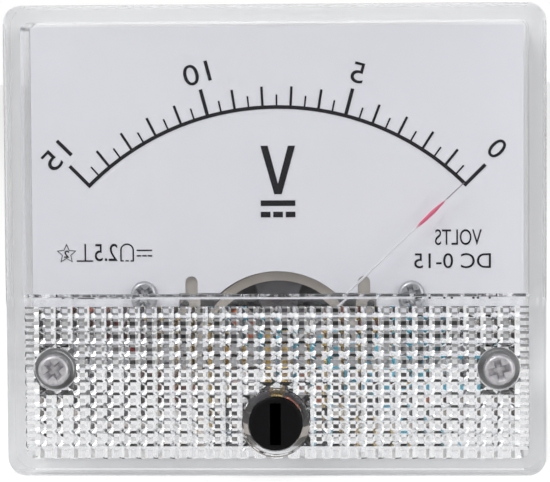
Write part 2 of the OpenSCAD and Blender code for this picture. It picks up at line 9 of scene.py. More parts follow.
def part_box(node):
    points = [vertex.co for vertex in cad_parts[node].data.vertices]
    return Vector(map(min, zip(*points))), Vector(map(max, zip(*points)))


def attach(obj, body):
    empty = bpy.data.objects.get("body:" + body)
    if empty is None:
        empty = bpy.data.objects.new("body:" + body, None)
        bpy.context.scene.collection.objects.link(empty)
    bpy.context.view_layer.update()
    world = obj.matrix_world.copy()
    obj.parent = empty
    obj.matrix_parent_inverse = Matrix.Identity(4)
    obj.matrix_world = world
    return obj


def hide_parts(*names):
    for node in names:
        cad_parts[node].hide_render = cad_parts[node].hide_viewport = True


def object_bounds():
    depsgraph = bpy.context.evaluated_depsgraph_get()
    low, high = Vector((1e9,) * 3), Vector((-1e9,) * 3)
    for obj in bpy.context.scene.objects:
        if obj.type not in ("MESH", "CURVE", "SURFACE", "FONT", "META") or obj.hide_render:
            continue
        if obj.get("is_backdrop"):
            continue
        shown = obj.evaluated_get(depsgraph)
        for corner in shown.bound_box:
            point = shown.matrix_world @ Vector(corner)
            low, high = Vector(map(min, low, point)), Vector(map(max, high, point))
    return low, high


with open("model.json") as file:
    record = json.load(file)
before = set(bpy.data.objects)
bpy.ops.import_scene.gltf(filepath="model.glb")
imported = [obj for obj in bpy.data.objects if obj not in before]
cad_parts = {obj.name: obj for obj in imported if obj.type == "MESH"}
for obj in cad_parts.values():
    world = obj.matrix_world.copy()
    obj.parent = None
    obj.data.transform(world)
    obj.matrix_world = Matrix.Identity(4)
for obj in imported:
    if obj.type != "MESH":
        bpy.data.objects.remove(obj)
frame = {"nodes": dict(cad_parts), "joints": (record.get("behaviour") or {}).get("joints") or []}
cad_low, cad_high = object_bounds()


# ---- White base ----
# One moulding of white ABS: a flange behind the face, a round barrel that goes
# through the panel, and the posts that the cover and the dial screw down to.
# The moulding has a fine spark-eroded grain and slightly uneven gloss.

mm = 0.001
nodes = frame["nodes"]


def card_rgb(red, green, blue):
    """A colour given in the 0 to 255 numbers of a paint card."""
    return tuple(((v / 255 + 0.055) / 1.055) ** 2.4 for v in (red, green, blue)) + (1,)


def surface_group():
    """Cloudy change of tone and gloss with a fine grain, for any moulded or plated piece."""
    group = bpy.data.node_groups.new("surface_variation", "ShaderNodeTree")
    for name, kind in (("Place", "NodeSocketVector"), ("Cloud Scale", "NodeSocketFloat"),
                       ("Grain Scale", "NodeSocketFloat"), ("Light Tone", "NodeSocketColor"),
                       ("Dark Tone", "NodeSocketColor"), ("Gloss Low", "NodeSocketFloat"),
                       ("Gloss High", "NodeSocketFloat")):
        group.interface.new_socket(name, in_out="INPUT", socket_type=kind)
    for name, kind in (("Tone", "NodeSocketColor"), ("Roughness", "NodeSocketFloat"),
                       ("Grain", "NodeSocketFloat")):
        group.interface.new_socket(name, in_out="OUTPUT", socket_type=kind)
    make, join = group.nodes.new, group.links.new
    source, result = make("NodeGroupInput"), make("NodeGroupOutput")
    cloud, grain = make("ShaderNodeTexNoise"), make("ShaderNodeTexNoise")
    cloud.inputs["Detail"].default_value = 3
    grain.inputs["Detail"].default_value = 2
    mix, gloss = make("ShaderNodeMix"), make("ShaderNodeMapRange")
    mix.data_type = "RGBA"
    gloss.inputs["From Min"].default_value = 0.3
    gloss.inputs["From Max"].default_value = 0.7
    join(source.outputs["Place"], cloud.inputs["Vector"])
    join(source.outputs["Place"], grain.inputs["Vector"])
    join(source.outputs["Cloud Scale"], cloud.inputs["Scale"])
    join(source.outputs["Grain Scale"], grain.inputs["Scale"])
    join(cloud.outputs["Fac"], mix.inputs["Factor"])
    join(source.outputs["Dark Tone"], mix.inputs["A"])
    join(source.outputs["Light Tone"], mix.inputs["B"])
    join(grain.outputs["Fac"], gloss.inputs["Value"])
    join(source.outputs["Gloss Low"], gloss.inputs["To Min"])
    join(source.outputs["Gloss High"], gloss.inputs["To Max"])
    join(mix.outputs["Result"], result.inputs["Tone"])
    join(gloss.outputs["Result"], result.inputs["Roughness"])
    join(grain.outputs["Fac"], result.inputs["Grain"])
    return group


surface_variation = surface_group()


def finish(name, light, dark, gloss, cloud=60, grain=2500, depth=0.01, stretch=(1, 1, 1),
           **sockets):
    """A material from its lighter and darker tone, its range of roughness and its grain."""
    material = bpy.data.materials.new(name)
    material.use_nodes = True
    make, join = material.node_tree.nodes.new, material.node_tree.links.new
    shader = material.node_tree.nodes["Principled BSDF"]
    place, turn = make("ShaderNodeTexCoord"), make("ShaderNodeMapping")
    surface, bump = make("ShaderNodeGroup"), make("ShaderNodeBump")
    surface.node_tree = surface_variation
    turn.inputs["Scale"].default_value = stretch
    join(place.outputs["Object"], turn.inputs["Vector"])
    join(turn.outputs["Vector"], surface.inputs["Place"])
    for socket, value in (("Cloud Scale", cloud), ("Grain Scale", grain), ("Light Tone", light),
                          ("Dark Tone", dark), ("Gloss Low", gloss[0]), ("Gloss High", gloss[1])):
        surface.inputs[socket].default_value = value
    join(surface.outputs["Tone"], shader.inputs["Base Color"])
    join(surface.outputs["Roughness"], shader.inputs["Roughness"])
    join(surface.outputs["Grain"], bump.inputs["Height"])
    bump.inputs["Strength"].default_value = 0.25
    bump.inputs["Distance"].default_value = depth * mm
    join(bump.outputs["Normal"], shader.inputs["Normal"])
    for socket, value in sockets.items():
        shader.inputs[socket.replace("_", " ")].default_value = value
    return material


def dress(material, *names):
    """Gives CAD nodes a finish in place of their plain colour."""
    for name in names:
        slots = nodes[name].data.materials
        for i in range(len(slots)):
            slots[i] = material
        if not slots:
            slots.append(material)


white_abs = finish("white_abs", card_rgb(250, 250, 249), card_rgb(245, 245, 245), (0.34, 0.46),
                   IOR=1.52)
dress(white_abs, "base_housing")


# ---- Mounting studs with their nuts and washers ----
# Zinc plated steel studs, moulded into the flange by their heads. A flat washer,
# a split spring washer and a hex nut on each pull the flange against the panel.

zinc = finish("zinc_plate", card_rgb(206, 207, 209), card_rgb(168, 169, 172), (0.24, 0.42),
              cloud=900, grain=5200, depth=0.012, Metallic=1)
spring_steel = finish("spring_steel", card_rgb(150, 150, 152), card_rgb(108, 108, 111),
                      (0.3, 0.5), cloud=900, grain=5200, Metallic=1)
dress(zinc, "mounting_washers")
dress(spring_steel, "mounting_spring_washers")

# Pieces are drawn facing the reader, with x to the right, y up and z towards them.
# Standing them up puts that z on the part's -Y and that y on its Z.
stand_up = Matrix.Rotation(math.radians(90), 4, "X")


def axis_of(node):
    """Where a piece's axis stands in the part, and how far it reaches front and back."""
    low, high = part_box(node)
    middle = (low + high) / 2
    return middle.x, middle.z, low.y, high.y, (high.x - low.x) / 2


def made(bm, name, body, material, slot, *stands_for, sharp=35):
    """Closes up a mesh, gives it its finish and fastens it to the body it moves with."""
    bmesh.ops.remove_doubles(bm, verts=bm.verts, dist=1e-7)
    bmesh.ops.recalc_face_normals(bm, faces=bm.faces)
    mesh = bpy.data.meshes.new(name)
    bm.to_mesh(mesh)
    bm.free()
    mesh.shade_smooth()
    mesh.set_sharp_from_angle(angle=math.radians(sharp))
    mesh.materials.append(material)
    piece = bpy.data.objects.new(name, mesh)
    bpy.context.scene.collection.objects.link(piece)
    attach(piece, body)
    if stands_for:
        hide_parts(*stands_for)
    return piece


def turned(bm, profile, steps=48):
    """Turns a profile of (radius, height) points about the z axis."""
    points = [bm.verts.new((r, 0, z)) for r, z in profile]
    edges = [bm.edges.new(pair) for pair in zip(points, points[1:])]
    bmesh.ops.spin(bm, geom=points + edges, cent=(0, 0, 0), axis=(0, 0, 1), dvec=(0, 0, 0),
                   angle=math.tau, steps=steps, use_merge=True)


def thread(bm, crest, root, pitch, bottom, top, steps=20):
    """A ridge wound round a stud, from one height to the other."""
    turns = (top - bottom - pitch * 0.8) / pitch
    corners = [(root * 0.96, 0), (crest, pitch * 0.36), (crest, pitch * 0.44),
               (root * 0.96, pitch * 0.8)]
    start = [bm.verts.new((r, 0, bottom + z)) for r, z in corners]
    edges = [bm.edges.new((start[i - 1], start[i])) for i in range(4)]
    count = round(turns * steps)
    spun = bmesh.ops.spin(bm, geom=start + edges, cent=(0, 0, 0), axis=(0, 0, 1),
                          dvec=(0, 0, pitch / steps), angle=math.tau * count / steps,
                          steps=count, use_merge=False)
    end = [g for g in spun["geom_last"] if isinstance(g, bmesh.types.BMVert)]
    bmesh.ops.contextual_create(bm, geom=start)
    bmesh.ops.contextual_create(bm, geom=end)


def rings(bm, loops, closed=False):
    """Walls between closed loops of points, each loop holding as many points as the next."""
    made_loops = []
    for loop in loops:
        circle = bmesh.ops.create_circle(bm, cap_ends=False, segments=len(loop), radius=mm)
        for vert, place in zip(circle["verts"], loop):
            vert.co = place
        made_loops.append(list({e for v in circle["verts"] for e in v.link_edges}))
    for near, far in zip(made_loops, made_loops[1:] + (made_loops[:1] if closed else [])):
        bmesh.ops.bridge_loops(bm, edges=near + far)
    return made_loops


def round_loop(radius, z, count=48, start=0.0):
    """Points round a circle, from the given angle in degrees."""
    first = math.radians(start)
    return [Vector((radius * math.cos(first + math.tau * i / count),
                    radius * math.sin(first + math.tau * i / count), z)) for i in range(count)]


def sided_loop(corners, z, count=48):
    """Points along the sides of an outline, as many on each side."""
    per_side = count // len(corners)
    ends = [Vector((x, y, z)) for x, y in corners]
    return [a.lerp(b, k / per_side) for a, b in zip(ends, ends[1:] + ends[:1])
            for k in range(per_side)]


def hex_nut(bm, x, y, across, bore, back, front):
    """A nut with chamfered corners and a countersunk bore, its axis at x, y."""
    corner = across / 2 / math.cos(math.radians(30))
    hexagon = [(corner * math.cos(math.radians(60 * i)), corner * math.sin(math.radians(60 * i)))
               for i in range(6)]
    flat_r = across / 2 * 0.93

    def chamfered(z, sign):
        return [p - Vector((0, 0, sign * max(0, p.xy.length - flat_r) * 0.5))
                for p in sided_loop(hexagon, z)]
    lead = (front - back) * 0.1
    nut = bmesh.new()
    rings(nut, [round_loop(bore, back + lead), round_loop(bore * 1.1, back),
                round_loop(flat_r, back), chamfered(back, -1), chamfered(front, 1),
                round_loop(flat_r, front), round_loop(bore * 1.1, front),
                round_loop(bore, front - lead)], closed=True)
    bmesh.ops.translate(nut, vec=(x, y, 0), verts=nut.verts)
    mesh = bpy.data.meshes.new("nut")
    nut.to_mesh(mesh)
    nut.free()
    bm.from_mesh(mesh)
    bpy.data.meshes.remove(mesh)


crest, root, tip_r, pitch = 1.5 * mm, 1.28 * mm, 1.05 * mm, 0.5 * mm
head_seat, neck_back, neck_front = 0.9 * mm, -7.95 * mm, -6.85 * mm
for side in ("left", "right"):
    node = "mounting_stud_" + side
    x, z, front, back, head_r = axis_of(node)
    bm = bmesh.new()
    turned(bm, [(0, -back), (tip_r, -back), (root, -back + 0.25 * mm), (root, head_seat),
                (head_r, head_seat), (head_r, -front), (0, -front)])
    thread(bm, crest, root, pitch, -back + 0.15 * mm, neck_back)
    thread(bm, crest, root, pitch, neck_front, head_seat - 0.1 * mm)
    bmesh.ops.transform(bm, matrix=Matrix.Translation((x, 0, z)) @ stand_up, verts=bm.verts)
    made(bm, "threaded_" + node, "case", zinc, "zinc_steel", node)

low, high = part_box("mounting_nuts")
stud_x, stud_z = axis_of("mounting_stud_right")[:2]
across_flats, bore = 5.5 * mm, 1.45 * mm
bm = bmesh.new()
for x in (-stud_x, stud_x):
    hex_nut(bm, x, stud_z, across_flats, bore, -high.y, -low.y)
bmesh.ops.transform(bm, matrix=stand_up, verts=bm.verts)
made(bm, "chamfered_mounting_nuts", "case", zinc, "zinc_steel", "mounting_nuts")


# ---- Terminals ----
# Two brass studs through the floor of the barrel, each locked by nuts on both
# sides. Tinned lugs under the nuts take the inner wires and the user's leads.

brass = finish("bright_brass", card_rgb(219, 190, 122), card_rgb(186, 152, 88), (0.2, 0.36),
               cloud=700, grain=4800, depth=0.01, Metallic=1)
tin = finish("tinned_brass", card_rgb(214, 213, 208), card_rgb(178, 177, 172), (0.22, 0.4),
             cloud=800, grain=4200, depth=0.01, Metallic=1)
dress(brass, "terminal_washers")
dress(tin, "inner_lug_positive", "inner_lug_negative", "outer_lug_positive",
      "outer_lug_negative")

pitch, neck_back, neck_front = 0.7 * mm, -34.3 * mm, -33.3 * mm
for pole in ("positive", "negative"):
    node = "terminal_stud_" + pole
    x, z, front, back, crest = axis_of(node)
    root = crest * 0.85
    bm = bmesh.new()
    turned(bm, [(0, -back), (root * 0.85, -back), (root, -back + 0.3 * mm),
                (root, -front - 0.3 * mm), (root * 0.85, -front), (0, -front)])
    thread(bm, crest, root, pitch, -back + 0.2 * mm, neck_back)
    thread(bm, crest, root, pitch, neck_front, -front - 0.1 * mm)
    bmesh.ops.transform(bm, matrix=Matrix.Translation((x, 0, z)) @ stand_up, verts=bm.verts)
    made(bm, "threaded_" + node, "case", brass, "brass", node)

terminal_x, terminal_z = axis_of("terminal_stud_negative")[:2]
across_flats, bore = 7 * mm, 1.95 * mm
for node in ("inner_nuts", "clamp_nuts", "terminal_nuts"):
    low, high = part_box(node)
    bm = bmesh.new()
    for x in (-terminal_x, terminal_x):
        hex_nut(bm, x, terminal_z, across_flats, bore, -high.y, -low.y)
    bmesh.ops.transform(bm, matrix=stand_up, verts=bm.verts)
    made(bm, "chamfered_" + node, "case", brass, "brass", node)

# The signs beside the terminals stand up from the floor of the barrel.
arm, stroke, relief = 3.2 * mm, 0.8 * mm, 0.5 * mm
sign_height, barrel_floor = -3 * mm, -25.05 * mm
for name, x, bars in (("plus_sign", -terminal_x, ((arm, stroke), (stroke, arm))),
                      ("minus_sign", terminal_x, ((arm, stroke),))):
    bm = bmesh.new()
    for width, height in bars:
        block = bmesh.ops.create_cube(bm, size=1)["verts"]
        bmesh.ops.scale(bm, vec=(width, height, relief), verts=block)
    bmesh.ops.bevel(bm, geom=bm.edges[:], offset=0.08 * mm, segments=2, profile=0.5,
                    affect="EDGES", material=-1)
    bmesh.ops.translate(bm, vec=(x, sign_height, barrel_floor), verts=bm.verts)
    bmesh.ops.transform(bm, matrix=stand_up, verts=bm.verts)
    made(bm, name, "case", white_abs, "white_plastic")


# ---- Series resistor and the inner wires ----
# A tan film resistor drops the voltage. Its bare leads run to the lugs, and two
# insulated wires join the movement to the circuit.

enamel = finish("resistor_enamel", card_rgb(206, 178, 132), card_rgb(188, 158, 112), (0.28, 0.4),
                cloud=400, IOR=1.5)
lead_tin = finish("lead_tin", card_rgb(205, 205, 204), card_rgb(172, 172, 172), (0.24, 0.4),
                  cloud=900, Metallic=1)
blue_pvc = finish("blue_pvc", card_rgb(72, 188, 214), card_rgb(54, 164, 196), (0.32, 0.44),
                  cloud=500, IOR=1.53)
red_pvc = finish("red_pvc", card_rgb(206, 48, 44), card_rgb(176, 34, 32), (0.32, 0.44),
                 cloud=500, IOR=1.53)

x, z, front, back, half = axis_of("resistor_body")
along_x = (Matrix.Translation((x, (front + back) / 2, z))
           @ Matrix.Rotation(math.radians(90), 4, "Y"))
end_r, cap_r, waist_r = 1.0 * mm, 1.3 * mm, 1.1 * mm
bm = bmesh.new()
turned(bm, [(0, -half), (end_r, -half), (cap_r, -half + 0.25 * mm), (cap_r, -half + 1.1 * mm),
            (waist_r, -half + 1.5 * mm), (waist_r, half - 1.5 * mm), (cap_r, half - 1.1 * mm),
            (cap_r, half - 0.25 * mm), (end_r, half), (0, half)], steps=32)
bmesh.ops.transform(bm, matrix=along_x, verts=bm.verts)
made(bm, "series_resistor", "case", enamel, "resistor_tan", "resistor_body", sharp=50)

band_w, band_inner, band_outer = 0.4 * mm, 1.08 * mm, 1.125 * mm
for name, tone, start in (("band_brown", (96, 56, 34), -1.15 * mm),
                          ("band_green", (46, 110, 62), -0.35 * mm),
                          ("band_orange", (214, 108, 36), 0.45 * mm),
                          ("band_gold", (170, 136, 62), 1.35 * mm)):
    bm = bmesh.new()
    turned(bm, [(band_inner, start), (band_outer, start), (band_outer, start + band_w),
                (band_inner, start + band_w), (band_inner, start)], steps=32)
    bmesh.ops.transform(bm, matrix=along_x, verts=bm.verts)
    light = card_rgb(*tone)
    dark = tuple(v * 0.85 for v in light[:3]) + (1,)
    made(bm, "resistor_" + name, "case", finish(name, light, dark, (0.3, 0.42), cloud=600),
         "resistor_tan")


def wire(name, routes, radius, material, slot, node):
    """A round wire through drawn points, as the CAD wire runs."""
    curve = bpy.data.curves.new(name, "CURVE")
    curve.dimensions = "3D"
    curve.bevel_depth = radius
    curve.bevel_resolution = 4
    curve.resolution_u = 10
    curve.use_fill_caps = True
    for route in routes:
        spline = curve.splines.new("BEZIER")
        spline.bezier_points.add(len(route) - 1)
        for knot, place in zip(spline.bezier_points, route):
            knot.co = stand_up @ (Vector(place) * mm)
            knot.handle_left_type = knot.handle_right_type = "AUTO"
    run = bpy.data.objects.new(name, curve)
    bm = bmesh.new()
    bm.from_mesh(run.to_mesh())
    run.to_mesh_clear()
    bpy.data.objects.remove(run)
    made(bm, name, "case", material, slot, node, sharp=60)


lead_r, insulated_r = 0.3 * mm, 0.45 * mm
lug_hole = (13.747, 13.891, -21.5)
wire("soldered_leads", [[(-3.6, 16.5, -13), (-5.2, 16.5, -13), (-6.6, 16.5, -13)],
                        [(3.6, 16.5, -13), (6.5, 16.5, -13), (10, 16.2, -14.5),
                         (13.2, 14.4, -18.5), lug_hole]],
     lead_r, lead_tin, "tinned", "resistor_leads")
wire("insulated_blue_wire", [[(5, -10.1, 9.36), (9.2, -12, 10.4), (13.7, -16, 10.3),
                              (16.3, -16.4, 6.5), (18, -13.4, 1.5), (20.6, -9, -5),
                              (19, -1, -8.5), (10, 8, -8.5), (0, 13.4, -9), (-5.6, 16, -11),
                              (-6.6, 16.5, -13)]],
     insulated_r, blue_pvc, "wire_blue", "blue_wire")
wire("insulated_red_wire", [[(-1.6, -18.8, -10.5), (-5, -19.6, -12), (-12.2, -18.4, -9.5),
                             (-17, -14.7, -3.8), (-20.2, -9.8, -3), (-19.8, -4.5, -9),
                             (-18, 6, -14.5), (-15.2, 12.6, -18.4),
                             (-lug_hole[0], lug_hole[1], lug_hole[2])]],
     insulated_r, red_pvc, "wire_red", "red_wire")


# ---- Movement frame, yoke and core ----
# A die-cast frame carries the soft-iron yoke ring round the magnet core. The
# ring's front edge shows in the round opening at the foot of the dial.

die_cast = finish("die_cast_frame", card_rgb(112, 111, 114), card_rgb(84, 83, 87), (0.42, 0.6),
                  cloud=350, grain=1800, depth=0.03, Metallic=0.85)
soft_iron = finish("soft_iron", card_rgb(216, 208, 197), card_rgb(188, 179, 168), (0.34, 0.52),
                   cloud=260, grain=2600, depth=0.02, stretch=(1, 0.2, 1), Metallic=0.7)
ferrite = finish("ferrite_core", card_rgb(92, 88, 96), card_rgb(66, 62, 70), (0.4, 0.58),
                 cloud=420, grain=2200, depth=0.02, Metallic=0.6)
dress(die_cast, "movement_frame")
dress(soft_iron, "yoke_ring")
dress(ferrite, "core_magnet")


def pan_screw(node, head_h, shank_r, turn, material=zinc):
    """A pan head screw with a tapered cross recess, where the CAD screw stands."""
    x, z, front, back, head_r = axis_of(node)
    seat = -front - head_h
    bm = bmesh.new()
    arm, half_w = head_r * 0.7, head_r * 0.23
    cross = [(arm, -half_w), (arm, half_w), (half_w, half_w), (half_w, arm), (-half_w, arm),
             (-half_w, half_w), (-arm, half_w), (-arm, -half_w), (-half_w, -half_w),
             (-half_w, -arm), (half_w, -arm), (half_w, -half_w)]
    lip = [(x0 * 0.93, y0 * 0.9) for x0, y0 in cross]
    floor = [(x0 * 0.5, y0 * 0.5) for x0, y0 in cross]
    outline = [(shank_r * 0.4, -back), (shank_r, -back + 0.5 * mm), (shank_r, seat),
               (head_r * 0.97, seat), (head_r, seat + head_h * 0.05)]
    outline += [(head_r * share, seat + head_h * rise) for share, rise in (
        (1.0, 0.42), (0.98, 0.66), (0.93, 0.83), (0.86, 0.94), (0.76, 0.99))]
    layers = [round_loop(r, height, start=-15) for r, height in outline]
    layers += [sided_loop(cross, seat + head_h), sided_loop(lip, seat + head_h * 0.93),
               sided_loop(floor, seat + head_h * 0.32)]
    walls = rings(bm, layers)
    bmesh.ops.contextual_create(bm, geom=walls[0])
    bmesh.ops.contextual_create(bm, geom=walls[-1])
    bmesh.ops.rotate(bm, cent=(0, 0, 0), matrix=Matrix.Rotation(math.radians(turn), 3, "Z"),
                     verts=bm.verts)
    bmesh.ops.transform(bm, matrix=Matrix.Translation((x, 0, z)) @ stand_up, verts=bm.verts)
    made(bm, "cross_" + node, "case", material, "zinc_steel", node, sharp=30)


head_h, shank_r = 1.3 * mm, 1.05 * mm
pan_screw("frame_screw_left", head_h, shank_r, 22)
pan_screw("frame_screw_right", head_h, shank_r, 64)


# ---- Bridge and bearings ----
# A pressed aluminium bridge spans the posts. Brass screws with synthetic ruby
# seats hold the pivots front and rear, each locked by a small hex nut.

pressed_aluminium = finish("pressed_aluminium", card_rgb(204, 204, 206), card_rgb(174, 174, 178),
                           (0.26, 0.42), cloud=240, grain=3000, stretch=(0.15, 1, 1),
                           depth=0.01, Metallic=1)
ruby = finish("synthetic_ruby", card_rgb(176, 28, 52), card_rgb(140, 16, 38), (0.05, 0.12),
              cloud=900, IOR=1.77, Coat_Weight=0.6)
dress(pressed_aluminium, "front_bridge")
dress(brass, "front_jewel_screw", "rear_jewel_screw")
dress(ruby, "front_jewel", "rear_jewel")
head_h, shank_r = 1.1 * mm, 0.95 * mm
pan_screw("bridge_screw_left", head_h, shank_r, 8)
pan_screw("bridge_screw_right", head_h, shank_r, 51)
across_flats, bore = 4 * mm, 1.2 * mm
for node in ("front_lock_nut", "rear_lock_nut"):
    low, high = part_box(node)
    bm = bmesh.new()
    hex_nut(bm, 0, axis_of(node)[1], across_flats, bore, -high.y, -low.y)
    bmesh.ops.transform(bm, matrix=stand_up, verts=bm.verts)
    made(bm, "chamfered_" + node, "case", brass, "brass", node)


# ---- Zero lever and hairsprings ----
# A brass lever with a forked foot, which the pin of the zero adjuster turns. It
# carries the outer end of the front hairspring; the rear one has a fixed post.

bronze = finish("spring_bronze", card_rgb(190, 142, 92), card_rgb(158, 112, 68), (0.22, 0.36),
                cloud=900, Metallic=1)
dress(brass, "zero_lever", "rear_spring_anchor")
dress(bronze, "front_hairspring", "rear_hairspring")


# ---- Moving coil and needle ----
# A copper coil on a thin aluminium former swings round the core on steel pivots.
# A balance cross carries the needle, whose blade is painted red near the tip.

former_sheet = finish("former_sheet", card_rgb(208, 208, 210), card_rgb(184, 184, 188),
                      (0.26, 0.4), cloud=700, Metallic=1)
pivot_steel = finish("polished_steel", card_rgb(186, 190, 198), card_rgb(158, 162, 170),
                     (0.12, 0.22), cloud=900, Metallic=1)
dress(former_sheet, "coil_former", "balance_cross", "tail_weight", "side_weights")
dress(pivot_steel, "front_pivot", "rear_pivot")

enamelled_copper = finish("enamelled_copper", card_rgb(176, 92, 52), card_rgb(132, 60, 30),
                          (0.24, 0.36), cloud=1400, grain=6000, depth=0.02, Metallic=0.9,
                          Coat_Weight=0.5)
dress(enamelled_copper, "coil_winding")

pivot = Vector(next(j for j in frame["joints"] if j["name"] == "needle_swing")["pos_m"])
blade_from, blade_to, fade_in, fade_out = 23.6 * mm, 27.9 * mm, 0.8 * mm, 0.6 * mm
needle_paint = finish("needle_paint", card_rgb(240, 240, 242), card_rgb(224, 224, 228),
                      (0.3, 0.4), cloud=900)
tree = needle_paint.node_tree
make, join = tree.nodes.new, tree.links.new
place, centred = make("ShaderNodeTexCoord"), make("ShaderNodeMapping")
centred.inputs["Location"].default_value = (-pivot.x, 0, -pivot.z)
centred.inputs["Scale"].default_value = (1, 0, 1)
reach, past_start, before_end = (make("ShaderNodeVectorMath"), make("ShaderNodeMapRange"),
                                 make("ShaderNodeMapRange"))
reach.operation = "LENGTH"
both, beyond = make("ShaderNodeMath"), make("ShaderNodeMath")
both.operation, beyond.operation = "MULTIPLY", "GREATER_THAN"
red, tip = make("ShaderNodeMix"), make("ShaderNodeMix")
red.data_type = tip.data_type = "RGBA"
join(place.outputs["Object"], centred.inputs["Vector"])
join(centred.outputs["Vector"], reach.inputs[0])
for ramp, low_end, high_end, values in ((past_start, blade_from - fade_in, blade_from, (0, 1)),
                                        (before_end, blade_to - fade_out, blade_to, (1, 0))):
    join(reach.outputs["Value"], ramp.inputs["Value"])
    ramp.inputs["From Min"].default_value = low_end
    ramp.inputs["From Max"].default_value = high_end
    ramp.inputs["To Min"].default_value, ramp.inputs["To Max"].default_value = values
join(past_start.outputs["Result"], both.inputs[0])
join(before_end.outputs["Result"], both.inputs[1])
join(reach.outputs["Value"], beyond.inputs[0])
beyond.inputs[1].default_value = blade_to
shader = tree.nodes["Principled BSDF"]
tone = shader.inputs["Base Color"].links[0].from_socket
join(tone, red.inputs["A"])
red.inputs["B"].default_value = card_rgb(224, 88, 124)
join(both.outputs["Value"], red.inputs["Factor"])
join(red.outputs["Result"], tip.inputs["A"])
tip.inputs["B"].default_value = card_rgb(128, 112, 120)
join(beyond.outputs["Value"], tip.inputs["Factor"])
join(tip.outputs["Result"], shader.inputs["Base Color"])

# The blade has a ridge along its front that the light picks out.
ridge, hub_r, hair = 0.14 * mm, 1 * mm, 0.02 * mm
bm = bmesh.new()
bm.from_mesh(nodes["pointer"].data)
bmesh.ops.remove_doubles(bm, verts=bm.verts, dist=1e-6)
tip_at = max((v.co - pivot for v in bm.verts), key=lambda reach: reach.xz.length)
along = Vector((tip_at.x, 0, tip_at.z)).normalized()
across = Vector((along.z, 0, -along.x))
bmesh.ops.bisect_plane(bm, geom=bm.verts[:] + bm.edges[:] + bm.faces[:], dist=1e-7,
                       plane_co=pivot, plane_no=across)
front = min(v.co.y for v in bm.verts if (v.co - pivot).dot(along) > 5 * mm)
for vert in bm.verts:
    reach = vert.co - pivot
    off_middle = abs(reach.dot(across)) > hair
    if vert.co.y < front + 0.01 * mm and reach.dot(along) > hub_r and off_middle:
        vert.co.y += ridge
made(bm, "ridged_needle", "moving_coil", needle_paint, "aluminium", "pointer", sharp=20)


# ---- Stops ----
# A grey sheet behind the foot of the dial carries two rubber-sleeved pegs that
# the needle rests against at the ends of its swing.

passivated_sheet = finish("passivated_sheet", card_rgb(194, 188, 180), card_rgb(174, 167, 157),
                          (0.4, 0.56), cloud=300, grain=2400, depth=0.02, Metallic=0.15)
rubber = finish("peg_rubber", card_rgb(38, 38, 40), card_rgb(26, 26, 28), (0.55, 0.7), cloud=700)
dress(passivated_sheet, "stop_bracket")
dress(rubber, "stop_peg_left", "stop_peg_right")


# ---- Dial ----
# Painted aluminium sheet with a printed scale, numbers, the unit sign and the
# usual instrument symbols. The print is a raised film of black ink. Its whole
# layout reads from right to left, with zero at the right.

dial_paint = finish("dial_paint", card_rgb(233, 233, 237), card_rgb(228, 228, 233), (0.5, 0.62),
                    cloud=120, grain=3000, depth=0.006)
dial_ink = finish("dial_ink", card_rgb(26, 25, 30), card_rgb(18, 17, 22), (0.8, 0.95), cloud=500,
                  Specular_IOR_Level=0)
dress(dial_paint, "dial_plate")
dress(dial_ink, "scale_print")
dial_front = -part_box("dial_plate")[0].y
ink_film = 0.05 * mm
scale_centre_y = -14.4


def printed(bm, name):
    """Lays flat print on the face of the dial."""
    bmesh.ops.translate(bm, vec=(0, 0, dial_front), verts=bm.verts)
    bmesh.ops.transform(bm, matrix=stand_up, verts=bm.verts)
    made(bm, name, "case", dial_ink, "ink", sharp=20)


def thicken(bm):
    """Gives flat print the thickness of its ink."""
    film = bmesh.ops.extrude_face_region(bm, geom=bm.faces[:])
    raised = [g for g in film["geom"] if isinstance(g, bmesh.types.BMVert)]
    bmesh.ops.translate(bm, vec=(0, 0, ink_film), verts=raised)


def lettering(name, words, x, y, width, height, turn=0.0, heavy=0.0):
    """A word of print, mirrored, with its middle at x, y and its top turned clockwise."""
    text = bpy.data.curves.new(name, "FONT")
    text.body = words
    text.offset = heavy
    text.fill_mode = "FRONT"
    text.resolution_u = 6
    flat = bpy.data.objects.new(name, text)
    bm = bmesh.new()
    bm.from_mesh(flat.to_mesh())
    flat.to_mesh_clear()
    bpy.data.objects.remove(flat)
    bmesh.ops.remove_doubles(bm, verts=bm.verts, dist=1e-5)
    xs, ys = [v.co.x for v in bm.verts], [v.co.y for v in bm.verts]
    bmesh.ops.translate(bm, vec=(-(min(xs) + max(xs)) / 2, -(min(ys) + max(ys)) / 2, 0),
                        verts=bm.verts)
    bmesh.ops.scale(bm, vec=(-width * mm / (max(xs) - min(xs)), height * mm / (max(ys) - min(ys)),
                             1), verts=bm.verts)
    bmesh.ops.rotate(bm, cent=(0, 0, 0), matrix=Matrix.Rotation(-math.radians(turn), 3, "Z"),
                     verts=bm.verts)
    bmesh.ops.translate(bm, vec=(x * mm, y * mm, 0), verts=bm.verts)
    thicken(bm)
    printed(bm, name)


number_h = 2.5
for words, x, y, width in (("0", 26.4, 12.5, 1.6), ("5", 9.8, 21.65, 1.55),
                           ("10", -9.6, 21.65, 3.2), ("15", -26.6, 11.8, 3.2)):
    outwards = math.degrees(math.atan2(x, y - scale_centre_y))
    lettering("number_" + words, words, x, y, width, number_h, outwards)


def flat_shapes(name, outlines):
    """Print made of filled outlines, each a short list of x, y corners."""
    bm = bmesh.new()
    for outline in outlines:
        bm.faces.new([bm.verts.new((x * mm, y * mm, 0)) for x, y in outline])
    thicken(bm)
    printed(bm, name)


def strip(x0, x1, y0, y1):
    """The corners of an upright rectangle."""
    return [(x0, y0), (x1, y0), (x1, y1), (x0, y1)]


